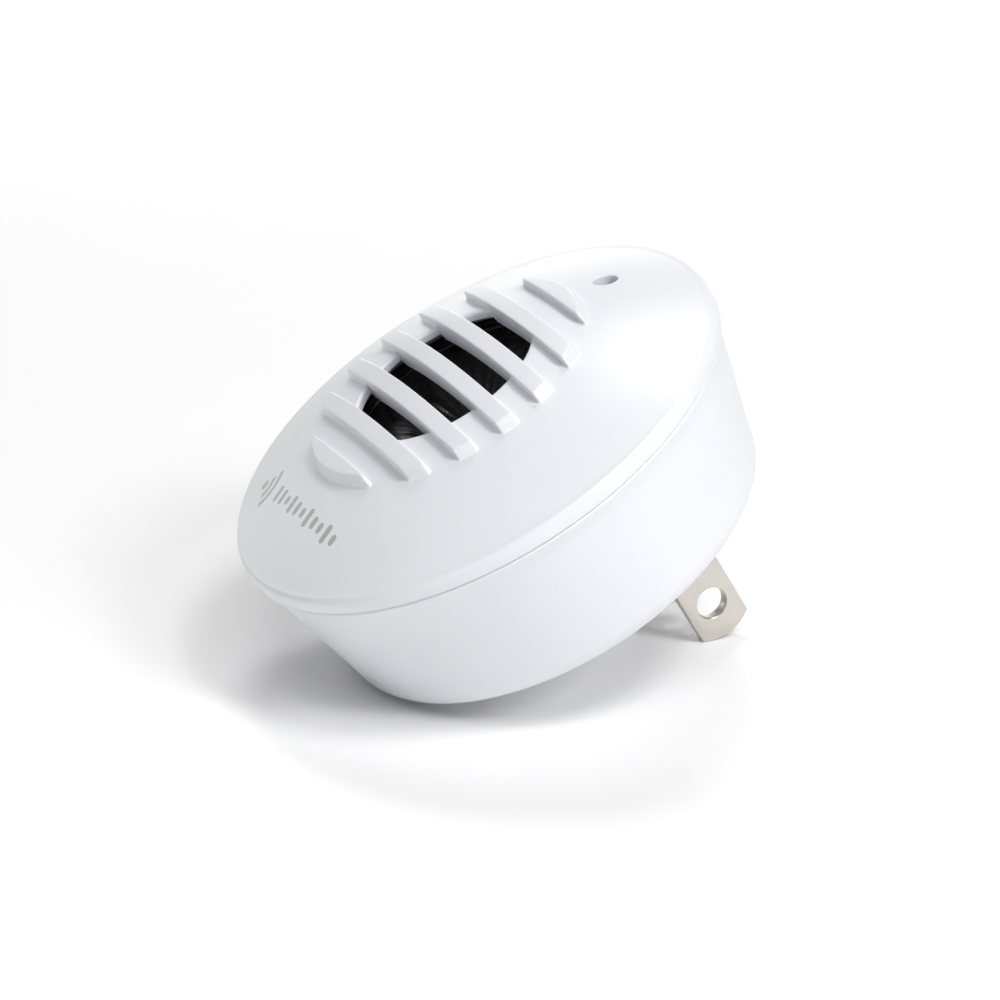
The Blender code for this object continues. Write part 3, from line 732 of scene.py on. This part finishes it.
# %% Speaker cone
CONE_IN, CONE_OUT, CONE_LOW, CONE_RISE = 2.6, 12.6, -0.1, 3.9
CAP_R, CAP_BASE = 2.55, 0.2
SURROUND_R, SURROUND_MID, SURROUND_HEIGHT = 0.33, 13.65, 4.0


def speaker():
    sheet = [(13.0, 4.1), (13.0, 3.6), (3.2, -0.6), (0.0, -0.6), (0.0, CONE_LOW),
             (CONE_IN, CONE_LOW)]
    sheet += [(CONE_IN + (CONE_OUT - CONE_IN) * s, CONE_LOW + CONE_RISE * s ** 0.85)
              for s in steps(0.1, 0.95, 12)]
    cone = loose_object("cone_fine", to_mesh("cone_fine", spun(sheet, 144)))
    finish_piece(cone, "diaphragm", CONE_BLACK, ["speaker_cone"])
    cap = [(0.0, CAP_BASE), (2.35, CAP_BASE)] + arc((0, CAP_BASE - 1.2), CAP_R, 28, 90, 14)
    dust_cap = loose_object("dust_cap_fine", to_mesh("dust_cap_fine", spun(cap, 96, closed=False)))
    finish_piece(dust_cap, "diaphragm", CONE_BLACK, ["dust_cap"])
    ring = arc((SURROUND_MID, SURROUND_HEIGHT), SURROUND_R, 0, 342, 19)
    surround = loose_object("surround_fine", to_mesh("surround_fine", spun(ring, 144)))
    finish_piece(surround, "casing", FRAME_BLACK, ["speaker_surround"])


speaker()

# %% [markdown]
# ## Casing screws
#
# Deep in each well sits a pan-head screw with a cross recess. The screw is turned, and the
# cross is cut with two bars.

# %% Screws
HEAD_R, SHANK_R, POINT_Z = 2.2, 1.05, 0.8
HEAD_RIM, HEAD_CROWN = 0.4, 0.9
CROSS_BARS = ((2.6, 0.55, 1.6), (0.55, 2.6, 1.6))


def steel_finish(name):
    skin = Finish(name, metallic=1.0)
    wear = skin.noise(skin.local(), 2.5, 4.0, 0.6)
    skin.colour(skin.blend(wear, rgb(0.42, 0.42, 0.43), rgb(0.66, 0.66, 0.68)))
    skin.roughness(0.24 + 0.18 * wear)
    skin.bump(wear, 0.2, 0.04 * MM)
    return skin.material


STEEL = steel_finish("zinc_steel")


def casing_screw(name, x, y):
    under = WELL_TOP - 0.3
    crown = [(HEAD_R * math.cos(math.radians(t)),
              under - HEAD_RIM - HEAD_CROWN * math.sin(math.radians(t)))
             for t in steps(0, 90, 10)]
    profile = [(0.0, POINT_Z), (0.25, POINT_Z), (SHANK_R, 0.0), (SHANK_R, under),
               (HEAD_R, under)] + crown
    obj = loose_object(name + "_fine", to_mesh(name + "_fine", spun(profile, 64, closed=False)))
    crosses = []
    for size in CROSS_BARS:
        bm = bmesh.new()
        bmesh.ops.create_cube(bm, size=1)
        bmesh.ops.scale(bm, vec=size, verts=bm.verts)
        bmesh.ops.translate(bm, vec=(0, 0, under - 1.3), verts=bm.verts)
        crosses.append(loose_object("cross_cutter", to_mesh("cross_cutter", bm)))
    cut_with(obj, crosses)
    obj.data.transform(Matrix.Translation((x, y, 0)))
    finish_piece(obj, "casing", STEEL, [name])


for name, (x, y) in zip(("case_screw_bottom", "case_screw_right", "case_screw_left"), TOWERS):
    casing_screw(name, x, y)

# %% [markdown]
# ## Finishes for the parts inside
#
# The board and its components keep their CAD shapes, because the closed casing hides
# them. Each still gets a finish with some life in it, made by one function: two tones
# mixed by noise, a roughness range and a shallow bump.

# %% Finishes by slot
def mottled(name, low, high, rough=0.4, metallic=0.0, scale=2.0, **constants):
    skin = Finish(name, metallic=metallic, **constants)
    wear = skin.noise(skin.local(), scale, 4.0, 0.6)
    skin.colour(skin.blend(wear, rgb(*low), rgb(*high)))
    skin.roughness(rough + 0.15 * wear)
    skin.bump(wear, 0.2, 0.05 * MM)
    return skin.material


SLOT_FINISH = {
    "white_abs": body_white.material,
    "nickel_blade": NICKEL,
    "screw_steel": STEEL,
    "black_plastic": FRAME_BLACK,
    "black_rubber": FRAME_BLACK,
    "brass": mottled("brass_sheet", (0.62, 0.45, 0.2), (0.8, 0.62, 0.32), 0.22, 1.0),
    "moulded_black": mottled("moulded_black", (0.02, 0.02, 0.02), (0.045, 0.045, 0.045), 0.5),
    "piezo_ceramic": mottled("piezo_ceramic", (0.7, 0.69, 0.64), (0.85, 0.84, 0.8), 0.45),
    "board_laminate": mottled("board_laminate", (0.45, 0.28, 0.11), (0.6, 0.4, 0.19), 0.5),
    "led_epoxy": mottled("led_epoxy", (0.5, 0.03, 0.02), (0.65, 0.06, 0.05), 0.08,
                         transmission_weight=0.6),
    "tinned_lead": mottled("tinned_lead", (0.55, 0.55, 0.56), (0.75, 0.75, 0.76), 0.25, 1.0),
    "yellow_film": mottled("yellow_film", (0.65, 0.46, 0.05), (0.8, 0.6, 0.1), 0.35),
    "blue_coat": mottled("blue_coat", (0.05, 0.13, 0.38), (0.09, 0.2, 0.5), 0.3),
    "tan_coat": mottled("tan_coat", (0.58, 0.4, 0.22), (0.72, 0.53, 0.32), 0.4),
    "green_coat": mottled("green_coat", (0.08, 0.25, 0.16), (0.12, 0.34, 0.23), 0.45),
    "ferrite": mottled("ferrite", (0.05, 0.048, 0.045), (0.1, 0.095, 0.09), 0.55),
    "copper_winding": mottled("copper_winding", (0.5, 0.2, 0.08), (0.72, 0.32, 0.14), 0.25, 1.0,
                              scale=5.0),
    "orange_glass": mottled("orange_glass", (0.5, 0.15, 0.04), (0.68, 0.25, 0.08), 0.1,
                            transmission_weight=0.5),
    "red_wire": mottled("red_wire", (0.42, 0.02, 0.02), (0.56, 0.04, 0.04), 0.4),
    "black_wire": mottled("black_wire", (0.018, 0.018, 0.018), (0.035, 0.035, 0.035), 0.4),
}

slots = {part["node"]: part["material_slot"] for part in frame["record"]["subparts"]}
for name, obj in NODES.items():
    obj.data.materials.clear()
    obj.data.materials.append(SLOT_FINISH[slots[name]])
print("slots in use:", len(set(slots.values())))

# %% [markdown]
# ## Table, camera and lights
#
# The table is a plain white sheet. The strongest softboxes stand to the view's right and
# send a soft shadow to the left. Weaker ones in front, behind and low on the left keep the
# shaded sides open. A spot whitens the table beyond the device.

# %% Table
TABLE_HALF = 3.0         # metres


def table():
    bm = bmesh.new()
    bmesh.ops.create_grid(bm, x_segments=1, y_segments=1, size=TABLE_HALF)
    obj = loose_object("table", to_mesh("table", bm))
    skin = Finish("white_table", roughness=0.6, specular_ior_level=0.2)
    paper = skin.noise(skin.object_place, 60.0, 3.0)
    skin.colour(skin.blend(paper, rgb(0.945, 0.945, 0.945), rgb(0.965, 0.965, 0.965)))
    obj.data.materials.append(skin.material)


table()

# %% Camera
AZIMUTH, ELEVATION, ROLL = (math.radians(a) for a in (67.779, 20.248, -2.833))
DISTANCE = 484.3 * MM                        # from the seam's centre
AIM_RIGHT, AIM_UP = 2.39 * MM, -7.77 * MM
SENSOR, LENS = 36.0, 157.26                  # millimetres

toward = Vector((math.sin(AZIMUTH) * math.cos(ELEVATION), -math.cos(AZIMUTH) * math.cos(ELEVATION),
                 math.sin(ELEVATION)))
level = Vector((math.cos(AZIMUTH), math.sin(AZIMUTH), 0))
plumb = toward.cross(level)
right = level * math.cos(ROLL) + plumb * math.sin(ROLL)
up = plumb * math.cos(ROLL) - level * math.sin(ROLL)

lens = bpy.data.cameras.new("camera")
lens.lens, lens.sensor_width = LENS, SENSOR
lens.clip_start, lens.clip_end = 0.01, 20.0
camera = loose_object("camera", lens)
turn = Matrix((right, up, toward)).transposed()
place = SEAM + toward * DISTANCE + right * AIM_RIGHT + up * AIM_UP
camera.matrix_world = Matrix.Translation(place) @ turn.to_4x4()
bpy.context.scene.camera = camera

# %% Lights
AWAY = 1.2               # metres from the casing
SOFTBOXES = (            # degrees from the view's right to its front, and up; size; watts
    ("right_low", 45, 35, 0.3, 5.1),
    ("right_high", 45, 58, 0.3, 4.8),
    ("front_high", 90, 58, 0.6, 4.4),
    ("back_high", 270, 58, 0.35, 4.2),
    ("back_low", 270, 12, 0.6, 1.6),
    ("left_low", 225, 12, 0.6, 1.0),
)
near = Vector((toward.x, toward.y, 0)).normalized()


def softbox(name, turned, height, size, watts):
    """A square area light that faces the casing."""
    light = bpy.data.lights.new(name, "AREA")
    light.shape = "SQUARE"
    light.size, light.energy = size, watts
    obj = loose_object(name, light)
    turned, height = math.radians(turned), math.radians(height)
    way = (level * math.cos(turned) + near * math.sin(turned)) * math.cos(height)
    way.z = math.sin(height)
    obj.location = SEAM + way * AWAY
    obj.rotation_euler = way.to_track_quat("Z", "Y").to_euler()


for softbox_row in SOFTBOXES:
    softbox(*softbox_row)

# %% Spot on the table beyond the device
BEYOND, SPOT_HEIGHT = 0.52, 0.9
SPOT_WATTS, SPOT_ANGLE = 14.0, math.radians(46)
spot = bpy.data.lights.new("table_spot", "SPOT")
spot.energy, spot.spot_size, spot.spot_blend = SPOT_WATTS, SPOT_ANGLE, 1.0
spot.shadow_soft_size = 0.1
spot_object = loose_object("table_spot", spot)
spot_object.location = near * -BEYOND + Vector((0, 0, SPOT_HEIGHT))

# %% [markdown]
# The room is dim overhead, so that the softboxes shape the casing, and white at the
# horizon, where the table ends. Its strength falls with the height of the line of sight.

# %% Room
ROOM_DIM, ROOM_WHITE = 0.06, 1.0
WHITE_UP_TO, DIM_FROM = 0.10, 0.22       # sine of the angle above the horizon

world = bpy.data.worlds.new("studio")
world.use_nodes = True
sky = world.node_tree.nodes["Background"]
sky.inputs["Color"].default_value = rgb(1.0, 1.0, 1.0)
sight = Value(world.node_tree).node("TexCoord", {}, {}, out="Generated")
rise = sight.node("SeparateXYZ", {}, {"Vector": sight}, out="Z")
rise.node("MapRange", {}, {"Value": rise, "From Min": WHITE_UP_TO, "From Max": DIM_FROM,
                           "To Min": ROOM_WHITE, "To Max": ROOM_DIM}).into(sky, "Strength")
bpy.context.scene.world = world
bpy.context.scene.view_settings.view_transform = "Standard"
